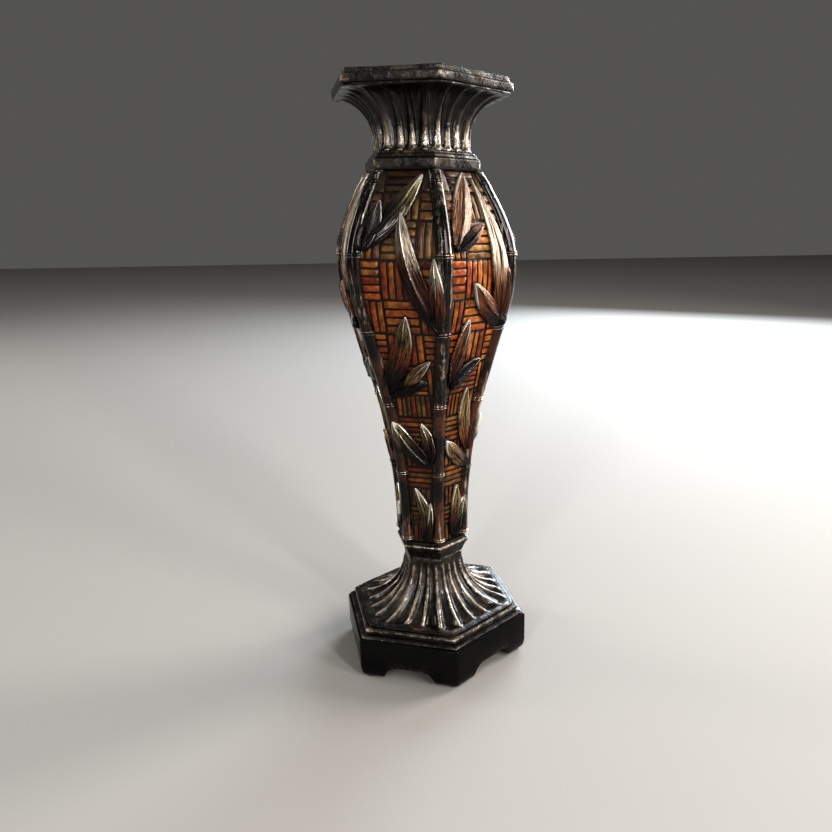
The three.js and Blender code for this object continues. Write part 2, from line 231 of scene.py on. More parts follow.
def antique_bronze():
    """Dark bronze paint, mottled with olive and brown, rubbed back to silver gold on the ridges,
    with painted highlight on fluted ridges and painted shade in grooves and under overhangs.
    """
    paint = Paint("antique_bronze", Coat_Weight=0.3, Coat_Roughness=0.1, Specular_IOR_Level=0.3)
    blotch = paint.noise(50, 5, 0.68)
    dapple = paint.noise(230, 3, 0.6)
    speck = paint.noise(650, 3, 0.7)
    mottle = paint.math("MULTIPLY_ADD", paint.attribute("rub"), 0.22, paint.blend_noise(blotch, 0.6, dapple))
    base = paint.ramp(mottle, [
        (0.42, (0.002, 0.0015, 0.001)), (0.5, (0.006, 0.005, 0.003)), (0.57, (0.026, 0.019, 0.01)),
        (0.68, (0.1, 0.066, 0.046)),
    ])
    rubbed = paint.ramp(paint.noise(110, 3), [
        (0.3, (0.2, 0.165, 0.11)), (0.5, (0.34, 0.29, 0.24)), (0.7, (0.56, 0.52, 0.5)),
    ])
    wear_and_highlight = worn_and_highlit(paint, paint.blend_noise(speck, 0.6, dapple), 0.3, 0.75, 1.8)
    colour = paint.mix(wear_and_highlight, base, rubbed)
    soot = paint.step(paint.attribute("relief"), -0.06, -0.35, 0, 0.9)
    # Painted shade: where the marks are negative the colour goes black, under the rim and collars
    dark = paint.step(paint.attribute("rub"), 0, -0.4)
    colour = paint.mix(paint.math("MAXIMUM", soot, dark), colour, SOOT_AND_SHADE)
    return paint.set(
        Base_Color=colour,
        Metallic=paint.step(wear_and_highlight, 0, 1, 0.15, 0.75),
        Roughness=paint.step(blotch, 0.3, 0.7, 0.22, 0.36),
        Normal=paint.bump(speck, 0.25, 0.7, paint.bump(dapple, 0.7, 0.6)),
    )


def cane_lacquer():
    """Near-black brown canes, with streaks of silver and gold where hands have rubbed them,
    streaks that also serve as painted highlight.
    """
    paint = Paint("cane_lacquer", Coat_Weight=0.38, Coat_Roughness=0.05, Specular_IOR_Level=0.15)
    streak = paint.noise((520, 520, 45), 4, 0.65)
    fibre = paint.noise((1600, 1600, 60), 3, 0.6)
    blotch = paint.noise(55, 4)
    warmth = paint.math("MULTIPLY", paint.attribute("warm"), paint.step(blotch, 0.42, 0.62))
    base = paint.mix(warmth, rgb(0.002, 0.0015, 0.0012), rgb(0.066, 0.023, 0.011))
    rubbed = paint.ramp(streak, [(0.35, (0.2, 0.13, 0.06)), (0.6, (0.5, 0.44, 0.36))])
    wear_and_highlight = worn_and_highlit(paint, streak, 0.2, 0.5, 1.3)
    wear_and_highlight = paint.math("MULTIPLY", wear_and_highlight, paint.step(blotch, 0.42, 0.6, 0.1, 1))
    colour = paint.mix(wear_and_highlight, base, rubbed)
    soot = paint.step(paint.attribute("relief"), -0.08, -0.35)
    colour = paint.mix(soot, colour, rgb(0.002, 0.0015, 0.001))
    return paint.set(
        Base_Color=colour,
        Metallic=paint.step(wear_and_highlight, 0, 1, 0.0, 0.75),
        Roughness=paint.step(blotch, 0.3, 0.7, 0.14, 0.26),
        Normal=paint.bump(fibre, 0.06, 0.4, paint.bump(streak, 0.25, 0.35)),
    )


def woven_strips():
    """Copper, orange and ochre strips with a dark wash in the grooves and along the edges."""
    paint = Paint("woven_strips", Coat_Weight=0.12, Coat_Roughness=0.12, Specular_IOR_Level=0.3)
    blotch = paint.noise(150, 4, 0.65)
    speck = paint.noise(900, 3, 0.6)
    shade = paint.mix(paint.step(blotch, 0.35, 0.68), rgb(0.45, 0.3, 0.2), rgb(1.3, 1.2, 1.0))
    colour = paint.mix(1.0, paint.attribute("paint", "Color"), shade, "MULTIPLY")
    edge = paint.math("ADD", paint.attribute("rim"), paint.spread(blotch, 0.9))
    colour = paint.mix(paint.step(edge, 0.2, 0.75), colour, rgb(0.006, 0.0015, 0.001))
    return paint.set(
        Base_Color=colour,
        Metallic=paint.step(edge, 0.3, 0.8, 0.25, 0.0),
        Roughness=paint.step(blotch, 0.3, 0.7, 0.26, 0.42),
        Normal=paint.bump(speck, 0.1, 0.5, paint.bump(blotch, 0.3, 0.6)),
    )


def leaf_bronze():
    """Leaves that fade from dark, lacquered stalks to gold, silver or copper tips."""
    paint = Paint("leaf_bronze", Metallic=0.5, Coat_Weight=0.22, Coat_Roughness=0.04)
    paint.set(Specular_IOR_Level=0.18)
    along = paint.attribute("blade", "Vector")
    veins = paint.noise((7, 1.6, 1), 4, 0.65, along)
    fine = paint.noise((30, 4, 1), 3, 0.6, along)
    speck = paint.noise((22, 9, 1), 4, 0.7, along)
    shade = paint.mix(paint.step(veins, 0.38, 0.6), rgb(0.07, 0.05, 0.04), rgb(1.25, 1.18, 1.12))
    colour = paint.mix(1.0, paint.attribute("paint", "Color"), shade, "MULTIPLY")
    # Rubbed silver on tips and edges, and painted highlight beside the midribs
    colour = paint.mix(worn_and_highlit(paint, speck, 0.26, 0.7, 1.1), colour, rgb(0.62, 0.59, 0.52))
    colour = paint.mix(paint.step(paint.attribute("relief"), -0.06, -0.4), colour, SOOT_AND_SHADE)
    return paint.set(
        Base_Color=colour,
        Roughness=paint.step(veins, 0.3, 0.7, 0.2, 0.34),
        Normal=paint.bump(fine, 0.16, 0.5, paint.bump(veins, 0.5, 0.6)),
    )


def black_gloss():
    """Black lacquer with brush drag and paler, rubbed edges."""
    paint = Paint("black_gloss", Coat_Weight=0.06, Coat_Roughness=0.08, Specular_IOR_Level=0.12)
    blotch = paint.noise(45, 4)
    drag = paint.noise((60, 60, 700), 3, 0.5)
    speck = paint.noise(800, 3, 0.7)
    base = paint.ramp(blotch, [(0.3, (0.001, 0.001, 0.0012)), (0.7, (0.003, 0.0025, 0.0025))])
    edge = paint.math("ADD", paint.attribute("relief"), paint.spread(speck, 0.9))
    colour = paint.mix(paint.step(edge, 0.5, 0.85, 0, 0.35), base, rgb(0.12, 0.1, 0.09))
    return paint.set(
        Base_Color=colour,
        Roughness=paint.step(drag, 0.3, 0.7, 0.15, 0.28),
        Normal=paint.bump(drag, 0.15, 0.4, paint.bump(blotch, 0.6, 0.5)),
    )


def core_black():
    paint = Paint("core_black", Roughness=0.6)
    blotch = paint.noise(90, 4)
    return paint.set(
        Base_Color=paint.ramp(blotch, [(0.3, (0.008, 0.006, 0.005)), (0.7, (0.03, 0.02, 0.014))]),
        Normal=paint.bump(paint.noise(500, 3), 0.3, 0.5),
    )


def turned_metal(name, dark, light, roughness):
    """Metal with fine rings from the lathe and a soft tarnish."""
    paint = Paint(name, Metallic=1.0)
    split = paint.node("SeparateXYZ", {"Vector": paint.coords})
    squares = [paint.math("MULTIPLY", split.outputs[axis], split.outputs[axis]) for axis in (0, 1)]
    radius = paint.math("SQRT", paint.math("ADD", *squares))
    ring_place = paint.node("CombineXYZ", {"X": radius, "Z": split.outputs[2]}).outputs[0]
    rings = paint.noise(2600, 2, 0.5, ring_place)
    tarnish = paint.noise(70, 5, 0.65)
    return paint.set(
        Base_Color=paint.ramp(tarnish, [(0.32, dark), (0.62, light)]),
        Roughness=paint.step(tarnish, 0.3, 0.7, roughness + 0.14, roughness),
        Normal=paint.bump(rings, 0.05, 0.5),
    )


def felt():
    paint = Paint("felt", Roughness=0.95, Sheen_Weight=0.4, Sheen_Roughness=0.5)
    fibres = paint.noise(1400, 5, 0.75)
    return paint.set(
        Base_Color=paint.ramp(fibres, [(0.3, (0.008, 0.016, 0.011)), (0.7, (0.035, 0.06, 0.045))]),
        Normal=paint.bump(fibres, 0.4, 0.8),
    )


def pale_floor():
    paint = Paint("pale_floor", Roughness=0.8, Specular_IOR_Level=0.2)
    return paint.set(Base_Color=rgb(0.31, 0.3, 0.285))


# ---- Mesh helpers ----

# How many numbers a point has in an attribute, and what Blender calls that kind and its field
ATTRIBUTE_KINDS = {1: ("FLOAT", "value"), 3: ("FLOAT_VECTOR", "vector"), 4: ("FLOAT_COLOR", "color")}


def store(mesh, name, values):
    values = np.asarray(values, np.float32)
    kind, field = ATTRIBUTE_KINDS[values[0].size]
    mesh.attributes.new(name, kind, "POINT").data.foreach_set(field, values.ravel())


def mesh_piece(name, vertices, faces, material, slot, attributes=()):
    """A mesh object from vertices in millimetres."""
    mesh = bpy.data.meshes.new(name)
    mesh.from_pydata(np.asarray(vertices, float) * MM, [], faces)
    mesh.validate()
    mesh.polygons.foreach_set("use_smooth", [True] * len(mesh.polygons))
    for key, values in dict(attributes).items():
        store(mesh, key, values)
    piece = bpy.data.objects.new(name, mesh)
    bpy.context.scene.collection.objects.link(piece)
    mesh.materials.append(material)
    return piece


def read(collection, field):
    """The three numbers of each item of a collection, as rows."""
    values = np.empty(len(collection) * 3, np.float32)
    collection.foreach_get(field, values)
    return values.reshape(-1, 3)


def add_relief(piece, gain=2.2, rounds=2):
    """Stores how far each point stands out of (1) or sits in (-1) the surface round it."""
    mesh = piece.data
    places = read(mesh.vertices, "co")
    normals = read(mesh.vertex_normals, "vector")
    edges = np.empty(len(mesh.edges) * 2, np.int32)
    mesh.edges.foreach_get("vertices", edges)
    first, second = edges.reshape(-1, 2).T
    run = places[second] - places[first]
    run /= np.maximum(np.linalg.norm(run, axis=1), 1e-9)[:, None]
    count = len(places)
    share = np.maximum(np.bincount(edges, minlength=count), 1)

    def gather(at_first, at_second):
        return (np.bincount(first, at_first, count) + np.bincount(second, at_second, count)) / share

    value = -gather((run * normals[first]).sum(1), -(run * normals[second]).sum(1))
    for _ in range(rounds):
        value = 0.5 * value + 0.5 * gather(value[second], value[first])
    store(mesh, "relief", np.clip(gain * value, -1, 1))


def hill(value, centre, width):
    return np.exp(-(((value - centre) / width) ** 2))


def smooth(value, start, end):
    """Goes smoothly from 0 to 1 while the value goes from start to end."""
    part = np.clip((value - start) / (end - start), 0, 1)
    return part * part * (3 - 2 * part)


WAVES, STEEPNESS, LAST_PHASE = 7, 3, 6.3
WAVE_DIVISOR = 2.6  # keeps most of the waves' sum between -1 and 1


def wobble(seed, *axes):
    """Smooth unevenness, mostly between -1 and 1, over axes counted in its own wavelengths."""
    draw = np.random.default_rng(seed)
    total = 0
    for _ in range(WAVES):
        pull, phase = draw.normal(0, STEEPNESS, len(axes)), draw.uniform(0, LAST_PHASE)
        total = total + np.sin(sum(p * axis for p, axis in zip(pull, axes)) + phase)
    return total / WAVE_DIVISOR


def uneven(piece, amount, size):
    """Moves the surface in and out a little, as a casting from a hand-made mould is."""
    mesh = piece.data
    places = read(mesh.vertices, "co")
    push = wobble(1, *(places / (size * MM)).T) * amount * MM
    mesh.vertices.foreach_set("co", (places + read(mesh.vertex_normals, "vector") * push[:, None]).ravel())
    mesh.update()


def tube_faces(rings, around):
    faces = []
    for ring in range(rings - 1):
        here, above = ring * around, (ring + 1) * around
        for i in range(around):
            j = (i + 1) % around
            faces.append((here + i, here + j, above + j, above + i))
    return faces


def closed_tube(rings):
    """Vertices and faces of a body through rings of points, with a fan at each end."""
    rings = np.asarray(rings, float)
    count, around = rings.shape[:2]
    vertices = np.vstack([rings.reshape(-1, 3), rings[0].mean(0), rings[-1].mean(0)])
    faces = tube_faces(count, around)
    foot, head = count * around, count * around + 1
    top = (count - 1) * around
    for i in range(around):
        j = (i + 1) % around
        faces += [(foot, j, i), (head, top + i, top + j)]
    return vertices, faces


def tube_piece(name, rings, material, slot, **attributes):
    """A closed tube. Its attributes are given for the points of its rings, and are 0 at its ends."""
    data = {key: np.append(values, [0, 0]) for key, values in attributes.items()}
    return mesh_piece(name, *closed_tube(rings), material, slot, data)


def through(points):
    """A smooth curve through (height, value) pairs."""
    heights, values = np.array(points, float).T
    slopes = np.gradient(values, heights)

    def curve(z):
        i = np.clip(np.searchsorted(heights, z) - 1, 0, len(heights) - 2)
        span = heights[i + 1] - heights[i]
        t = (z - heights[i]) / span
        return (
            (2 * t**3 - 3 * t**2 + 1) * values[i] + (t**3 - 2 * t**2 + t) * span * slopes[i]
            + (3 * t**2 - 2 * t**3) * values[i + 1] + (t**3 - t**2) * span * slopes[i + 1]
        )

    return curve


def hexagon(corner, z, fillet, along=22, arc=4):
    """A ring of points round a hexagon with rounded corners, one of them towards -Y."""
    corners = []
    for k in range(SIDES):
        heading = -math.pi / 2 + 2 * k * HALF_SIDE
        centre = (corner - fillet / TO_FLAT) * np.array([math.cos(heading), math.sin(heading)])
        turns = heading + np.linspace(-HALF_SIDE, HALF_SIDE, arc + 1)
        corners.append(centre + fillet * np.column_stack([np.cos(turns), np.sin(turns)]))
    ring = []
    for k in range(SIDES):
        ring.extend(corners[k])
        start, end = corners[k][-1], corners[(k + 1) % SIDES][0]
        ring.extend(start + (end - start) * i / along for i in range(1, along))
    return np.column_stack([ring, np.full(len(ring), z)])


LONGEST_RUN, ROUNDING_STEPS = 2.0, 4
LARGEST_SHARE = 0.45  # of the run beside a corner, that its rounding may take


def soften(profile):
    """Rounds the corners of a (reach, height, rounding) profile and fills in its long runs."""
    points = [np.array(row[:2], float) for row in profile]
    roundings = [row[2] for row in profile[1:-1]]
    out = [points[0]]
    for before, here, after, rounding in zip(points, points[1:], points[2:], roundings):
        into, away = before - here, after - here
        into *= min(LARGEST_SHARE, rounding / np.linalg.norm(into))
        away *= min(LARGEST_SHARE, rounding / np.linalg.norm(away))
        for t in np.linspace(0, 1, ROUNDING_STEPS + 1):
            out.append(here + into * (1 - t) ** 2 + away * t**2)
    out.append(points[-1])
    full = [out[0]]
    for start, end in zip(out, out[1:]):
        parts = max(1, math.ceil(np.linalg.norm(end - start) / LONGEST_RUN))
        full.extend(start + (end - start) * i / parts for i in range(1, parts + 1))
    return full


CORNER_RUB, CORNER_WIDTH = 0.2, 0.06  # the width is an angle round the axis
CAST_LUMPS, FLUTE_LUMPS = 7, 5  # sizes of the unevenness on plain and on fluted castings


def rub_and_shade_bands(rings, bands):
    """How rubbed the points of some rings are, in bands round them that are given as
    (height, half height, amount). A rubbed band is rubbed more at the corners, and a band with a
    negative amount is painted shade."""
    x, y, z = np.asarray(rings, float).reshape(-1, 3).T
    from_corner = (np.arctan2(y, x) + math.pi / 2 + HALF_SIDE) % (2 * HALF_SIDE) - HALF_SIDE
    rubbed = sum((amount * hill(z, height, half) for height, half, amount in bands), 0 * z)
    return rubbed + np.clip(3 * rubbed, 0, CORNER_RUB) * hill(from_corner, 0, CORNER_WIDTH)


def settle(piece, *nodes, body="holder"):
    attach(piece, body)
    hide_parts(*nodes)


def hex_piece(name, node, material, profile, fillet, rough, bands):
    rings = [hexagon(reach, z, fillet) for reach, z in soften(profile)]
    piece = tube_piece(name, rings, material, "antique_bronze", rub=rub_and_shade_bands(rings, bands))
    uneven(piece, rough, CAST_LUMPS)
    add_relief(piece)
    settle(piece, node)


# ---- Fluted neck and base ----

FLUTES = 24
# Places across a flute, from the middle of one ridge to the next, closer together near the ridges
ACROSS_FLUTE = (0, 0.02, 0.04, 0.06, 0.085, 0.12, 0.17, 0.23, 0.31, 0.4, 0.5, 0.6, 0.69, 0.77, 0.83, 0.88,
                0.915, 0.94, 0.96, 0.98)


def flute_angles():
    pitch = 2 * math.pi / FLUTES
    start = pitch / 2  # a ridge stands half a pitch from the middle of each flat
    return np.array([start + pitch * (k + part) for k in range(FLUTES) for part in ACROSS_FLUTE])


ANGLES = flute_angles()
FROM_RIDGE = np.tile([min(part, 1 - part) for part in ACROSS_FLUTE], FLUTES)
CORNER_CUT, CORNER_SPREAD = 0.018, 0.05  # share of the reach that a corner loses, and over what angle


def hexagon_radius(corner):
    """Radius at each of the flute angles of a hexagon with slightly rounded corners."""
    from_flat = (ANGLES + HALF_SIDE) % (2 * HALF_SIDE) - HALF_SIDE
    sharp = corner * TO_FLAT / np.cos(from_flat)
    return sharp - CORNER_CUT * corner * hill(np.abs(from_flat), HALF_SIDE, CORNER_SPREAD)


def flared(waist, reach, waist_height, lip, turn):
    """Corner reach, height and outward slope of a quarter ellipse, turn from 0 to a right angle."""
    spread, rise = reach - waist, lip - waist_height
    out = np.array([abs(rise) * math.cos(turn), -math.copysign(spread, rise) * math.sin(turn)])
    place = reach - spread * math.cos(turn), waist_height + rise * math.sin(turn)
    return (*place, out / np.linalg.norm(out))


def fluted_ring(corner, z, out, depth, ridge, opening, crest):
    """Points of a ring with scooped flutes, and how rubbed each is. ridge is a ridge's share of
    the pitch, opening narrows the flutes to nothing at their rounded ends, and crest is how far
    the ridges swell."""
    aside = (0.5 - FROM_RIDGE) / (0.5 - ridge / 2) / max(opening, 1e-6)
    scoop = depth * opening * np.where(aside < 1, 1 - np.minimum(aside, 1) ** 2.6, 0)
    swell = crest * hill(FROM_RIDGE, 0, 0.6 * ridge + 0.01)
    radius = hexagon_radius(corner)
    moved = swell - scoop
    shrink = 1 + moved * out[0] / radius
    ring = np.column_stack([
        radius * np.cos(ANGLES) * shrink, radius * np.sin(ANGLES) * shrink, z + moved * out[1],
    ])
    on_ridge = np.clip(1.25 - FROM_RIDGE / (0.5 * ridge + 0.02), 0, 1)
    return ring, on_ridge


LEVEL = np.array([1.0, 0])


def plain_ring(corner, z):
    """A ring of a fluted piece where it has no flutes."""
    return fluted_ring(corner, z, LEVEL, depth=0, ridge=0.3, opening=0, crest=0)


def round_end(value, start, length):
    """0 outside the end of a flute, rising as a quarter circle to 1 inside it."""
    inside = min(1, max(0, (value - start) / length))
    return math.sqrt(1 - (1 - inside) ** 2)


def fluted_piece(name, node, rings, material, rough):
    """rings are (points, marks) pairs; the marks are rubbing, painted highlight and painted shade."""
    points, rub = zip(*rings)
    piece = tube_piece(name, points, material, "antique_bronze", rub=rub)
    uneven(piece, rough, FLUTE_LUMPS)
    add_relief(piece, 1.6, 1)
    settle(piece, node)


def fluted_neck(material):
    """Flutes with round feet, which widen as the neck flares and fade out under the rim."""
    foot, top = heights_of("fluted_neck")
    waist, waist_height, reach, lip = 38.2, 417, 69.2, top - 1.5
    flute_foot, depth, ridge, crest = 409, 2.4, 0.46, 0.35
    rings = [plain_ring(waist + 1, z) for z in (foot, foot + 0.7)]
    for z in (foot + 1.2, *(flute_foot + rise for rise in (0, 0.6, 1.2, 1.9, 2.7, 3.6, 4.8, 6.4))):
        ring, rub = fluted_ring(waist, z, LEVEL, depth, ridge, round_end(z, flute_foot, 4.5), crest)
        rings.append((ring, 0.22 + 0.5 * rub * smooth(z, flute_foot + 0.5, flute_foot + 3)))
    for turn in np.linspace(0, math.pi / 2, 44)[1:]:
        corner, z, out = flared(waist, reach, waist_height, lip, turn)
        # Ridges are rubbed brighter low down, partly as painted highlight; the upper flare, the band under
        # the rim and the top ring are darkened as painted shade
        up = smooth(z, 412, 440)
        under_rim = smooth(z, 436, 444)
        fade = 1 - smooth(corner, 50, 67)
        deep = (depth + 0.05 * (corner - waist)) * fade
        ring, rub = fluted_ring(corner, z, out, deep, ridge - 0.3 * up, 1, crest + 0.25 * fade)
        rings.append((ring, rub * (0.75 - 0.62 * up) - 0.24 * up - 0.5 * under_rim))
    ring, rub = plain_ring(reach, top)
    rings.append((ring, rub - 1))
    fluted_piece("neck", "fluted_neck", rings, material, 0.07)


def fluted_base(material):
    """Flutes that start under the lower collar and end round on the slope above the moulding."""
    foot, top = heights_of("fluted_base")
    waist, waist_height, reach, lip = 26.0, 86.0, 71.2, foot + 1.2
    # The skirt's foot under its lip is darkened as painted shade
    rings = [(plain_ring(reach + 0.8, foot)[0], 0 * ANGLES - 0.7)]
    for turn in np.linspace(math.pi / 2, 0, 62):
        corner, z, out = flared(waist, reach, waist_height, lip, turn)
        far = smooth(corner, waist, 60)
        begin = smooth(-z, -84.5, -79.5)
        end = 1 - smooth(corner, 61.5, 66)
        lip_shadow = smooth(corner, 69.6, 71)
        deep = (1.2 + 1.1 * far) * (1 - smooth(corner, 58, 67)) * begin
        swell = (0.8 + 0.8 * far) * end * begin
        ring, rub = fluted_ring(corner, z, out, deep, 0.34 - 0.16 * far, 1, swell)
        # Rib crests are rubbed, and carry painted highlight
        on_ridge = (0.42 + 0.3 * far) * rub * end * begin
        below = 0.16 * (1 - end) * (1 - lip_shadow) - 0.8 * lip_shadow
        rings.append((ring, 0.07 + on_ridge + below))
    rings.append((plain_ring(waist, top + 2)[0], 0 * ANGLES))
    fluted_piece("fluted_skirt", "fluted_base", rings, material, 0.09)


# ---- Collars, mouldings and rim ----


def base_moulding(material):
    foot, top = heights_of("base_moulding")
    profile = [
        (40, foot, 0), (79.3, foot, 0.4), (79.3, 36.1, 0.6), (77.6, 36.8, 0.6), (76.0, 37.2, 0.5),
        (73.6, 37.9, 0.8), (73.6, 38.7, 0.5), (75.2, 39.4, 0.8), (75.2, 41.2, 1.0), (73.4, top, 0.9),
        (71.6, top - 0.3, 0.3), (40, top - 0.3, 0),
    ]
    # The negative band is painted shade in the cove
    bands = [(41.3, 1.2, 0.3), (36.2, 0.6, 0.18), (38.2, 0.7, -0.6)]
    hex_piece("moulding", "base_moulding", material, profile, 0.9, 0.12, bands)


def lower_collar(material):
    foot, top = heights_of("lower_collar")
    profile = [
        (20, foot, 0), (25.2, foot, 0.1), (26.6, 90.4, 1.5), (28.2, 94.4, 2), (30.0, 97.5, 1.6),
        (31.5, 99.4, 0.8), (31.8, 100.6, 0.7), (31.0, 101.9, 0.8), (29.4, 102.6, 0.4), (29.4, top, 0.3),
        (20, top, 0),
    ]
    # The negative band is painted shade where the canes meet the collar's top
    bands = [(101, 1.2, 0.5), (97.5, 1.8, 0.2), (103, 0.9, -0.5)]
    hex_piece("ring_below_shaft", "lower_collar", material, profile, 1.4, 0.16, bands)


def upper_collar(material):
    foot, top = heights_of("upper_collar")
    profile = [
        (30, foot, 0), (43.9, foot, 0.5), (45, 396, 1.2), (45, 401.9, 1.2), (42.9, 402.9, 0.6),
        (42.3, 404.9, 0.9), (41, 405.4, 0.5), (40.3, top, 0.6), (30, top, 0),
    ]
    # The negative bands are painted shade in the groove and under the collar
    bands = [(398.7, 2.8, 0.2), (402.6, 0.7, -0.4), (406.5, 0.8, 0.2), (394.3, 0.7, -0.6)]
    hex_piece("ring_above_shaft", "upper_collar", material, profile, 1.1, 0.14, bands)


def rim(material):
    """The two-step plate under the candle, open in the middle for the pan."""
    foot, top = heights_of("top_plate")
    well, rebate, seat = 39.2, 42.5, top - 1.75
    outside = soften([
        (60, foot, 0), (68.4, foot, 0.7), (69.3, 448.4, 1.2), (69.3, 452.6, 1.1), (67.3, 453.4, 0.4),
        (66.5, 453.9, 0.5), (66.4, 456.2, 0.7), (65.6, top, 0.5), (50, top, 0),
    ])
    rings = [hexagon(reach, z, 1.1) for reach, z in outside]
    round_ring = np.array([(x, y, 0) for x, y, _ in rings[0]])
    round_ring /= np.linalg.norm(round_ring, axis=1)[:, None]
    for radius, z in ((rebate, top), (rebate, seat), (well, seat), (well, foot)):
        rings.append(round_ring * radius + (0, 0, z))
    around = len(rings[0])
    vertices = np.vstack(rings)
    faces = tube_faces(len(rings), around)
    last = (len(rings) - 1) * around
    faces += [(last + i, last + (i + 1) % around, (i + 1) % around, i) for i in range(around)]
    # The negative bands are painted shade in the step's groove and under the rim
    bands = [(450.6, 2.2, 0.22), (455.4, 1.2, 0.16), (453.6, 0.5, -0.3), (446.4, 1.0, -0.8)]
    rub = rub_and_shade_bands(np.reshape(vertices, (-1, around, 3)), bands)
    piece = mesh_piece("rim", vertices, faces, material, "antique_bronze", {"rub": rub})
    uneven(piece, 0.16, CAST_LUMPS)
    add_relief(piece)
    settle(piece, "top_plate")


# ---- Plinth and feet ----

CUT_LENGTH, CUT_FOOT = 200, -5  # cutters go past the plinth's sides and below it


def arch_outline(half, toe, crown, flat_half):
    """The opening between two feet as (across, height) points: round toes, then an easy curve up."""
    ankle = half - 0.8 * toe
    toe_curve = [(-half - toe / 2, 0), (-ankle - toe / 3, 0), (-ankle, 0.9 * toe)]
    rise = [(-ankle, 0.9 * toe), (-ankle + 2.4, crown - 1.2), (-flat_half, crown)]
    left = []
    for curve in (toe_curve, rise):
        start, pull, end = (np.array(point) for point in curve)
        for t in np.linspace(0, 1, 10)[:-1]:
            left.append(start * (1 - t) ** 2 + 2 * pull * t * (1 - t) + end * t**2)
    left.append(np.array([-flat_half, crown]))
    return [*left, *[np.array([-x, z]) for x, z in reversed(left)]]


def cutter(rings):
    return tube_piece("cutter", rings, None, "black_gloss")


def prism(outline, length, heading):
    """Rings of an (across, height) outline, lying level through the axis."""
    inward = np.array([math.cos(heading), math.sin(heading)])
    across = np.array([-inward[1], inward[0]])
    return [[(*(inward * out + across * s), z) for s, z in outline] for out in (-length / 2, length / 2)]


def subtract(piece, tool):
    bpy.context.view_layer.update()
    cut = piece.modifiers.new("cut", "BOOLEAN")
    cut.operation, cut.object, cut.solver = "DIFFERENCE", tool, "EXACT"
    apply_modifiers(piece)
    bpy.data.objects.remove(tool)


def apply_modifiers(piece):
    bpy.context.view_layer.update()
    final = piece.evaluated_get(bpy.context.evaluated_depsgraph_get())
    mesh = bpy.data.meshes.new_from_object(final)
    piece.modifiers.clear()
    piece.data = mesh


def bevel_edges(piece, width, least_turn):
    """Bevels the edges that turn by least_turn degrees or more, and joins what meets there."""
    soft = piece.modifiers.new("soft_edges", "BEVEL")
    soft.width, soft.segments = width * MM, 3
    soft.limit_method, soft.angle_limit = "ANGLE", math.radians(least_turn)
    apply_modifiers(piece)
    weld = bmesh.new()
    weld.from_mesh(piece.data)
    bmesh.ops.remove_doubles(weld, verts=weld.verts, dist=0.02 * MM)
    bmesh.ops.triangulate(weld, faces=weld.faces)
    weld.to_mesh(piece.data)
    weld.free()


def plinth(material):
    """A hexagonal block with rounded edges, hollow underneath, with an arch cut in each side."""
    foot, top = heights_of("plinth")
    corner, hollow, ceiling = 81.8, 62, 13.4
    outside = [
        (corner - 4.6, foot), (corner - 2.9, foot + 0.6), (corner - 1.6, foot + 2),
        (corner - 0.6, foot + 4.4), (corner, foot + 8),
        (corner, top - 1.9), (corner - 0.6, top - 0.6), (corner - 1.9, top),
    ]
    rings = [hexagon(reach, z, fillet=3.2, along=6, arc=6) for reach, z in outside]
    piece = tube_piece("plinth_block", rings, material, "black_gloss")
    turns = np.linspace(0, 2 * math.pi, 96, endpoint=False)
    room = [[(hollow * math.cos(a), hollow * math.sin(a), z) for a in turns] for z in (CUT_FOOT, ceiling)]
    subtract(piece, cutter(room))
    arch = arch_outline(half=25, toe=5, crown=13, flat_half=11)
    arch = [(arch[0][0], CUT_FOOT), *[(x, z) for x, z in arch], (arch[-1][0], CUT_FOOT)]
    for pair in range(SIDES // 2):
        subtract(piece, cutter(prism(arch[::-1], CUT_LENGTH, pair * 2 * HALF_SIDE)))
    bevel_edges(piece, 0.9, 35)
    for polygon in piece.data.polygons:
        polygon.use_smooth = True
    piece.data.set_sharp_from_angle(angle=math.radians(40))
    add_relief(piece, 1.6, 1)
    settle(piece, "plinth")


def turned_piece(name, node, material, slot, profile, around, body="holder", centre=(0, 0)):
    turns = np.linspace(0, 2 * math.pi, around, endpoint=False)
    rings = [
        [(centre[0] + r * math.cos(a), centre[1] + r * math.sin(a), z) for a in turns]
        for r, z in soften(profile)
    ]
    piece = tube_piece(name, rings, material, slot)
    add_relief(piece)
    settle(piece, node, body=body)


def felt_pads(material):
    for face in FACES:
        node = f"felt_pad_{face}"
        lowest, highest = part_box(node)
        x, y = ((lowest + highest) / 2 / MM).xy
        radius = (highest.y - lowest.y) / 2 / MM
        profile = [(0.5, 0, 0), (radius, 0, 0.3), (radius, highest.z / MM, 0.3), (0.5, highest.z / MM, 0)]
        turned_piece(f"pad_{face}", node, material, "felt", profile, 40, centre=(x, y))


# ---- Candle pan ----


def candle_pan(material):
    """A pressed dish with a flange, and a dimple for the spike's collar."""
    foot, top = heights_of("candle_pan")
    flange, wall, sheet, dimple, dimple_reach = 42, 38, 1.2, 0.5, 5.4
    dish = foot + sheet
    profile = [
        (0.5, foot, 0), (wall - 0.6, foot, 1.4), (wall, foot + 2, 1), (wall, top - sheet, 0.3),
        (flange, top - sheet, 0.3), (flange, top, 0.3), (wall - sheet, top, 0.9),
        (wall - sheet - 0.2, dish, 1.4), (dimple_reach, dish, 0.2), (dimple_reach, dish - dimple, 0.1),
        (0.5, dish - dimple, 0),
    ]
    turned_piece("pan", "candle_pan", material, "pan_brass", profile, 96, "pan")


def pricket_spike(material):
    foot, tip = heights_of("pricket_spike")
    collar = 5
    profile = [
        (0.2, foot, 0), (collar, foot, 0.3), (collar, foot + 1.1, 0.3), (2.7, foot + 1.5, 0.5),
        (2.1, foot + 2.6, 0.6), (1.5, foot + 10, 2), (0.15, tip, 0),
    ]
    turned_piece("spike", "pricket_spike", material, "spike_steel", profile, 40, "pan")


# ---- Shaft ----

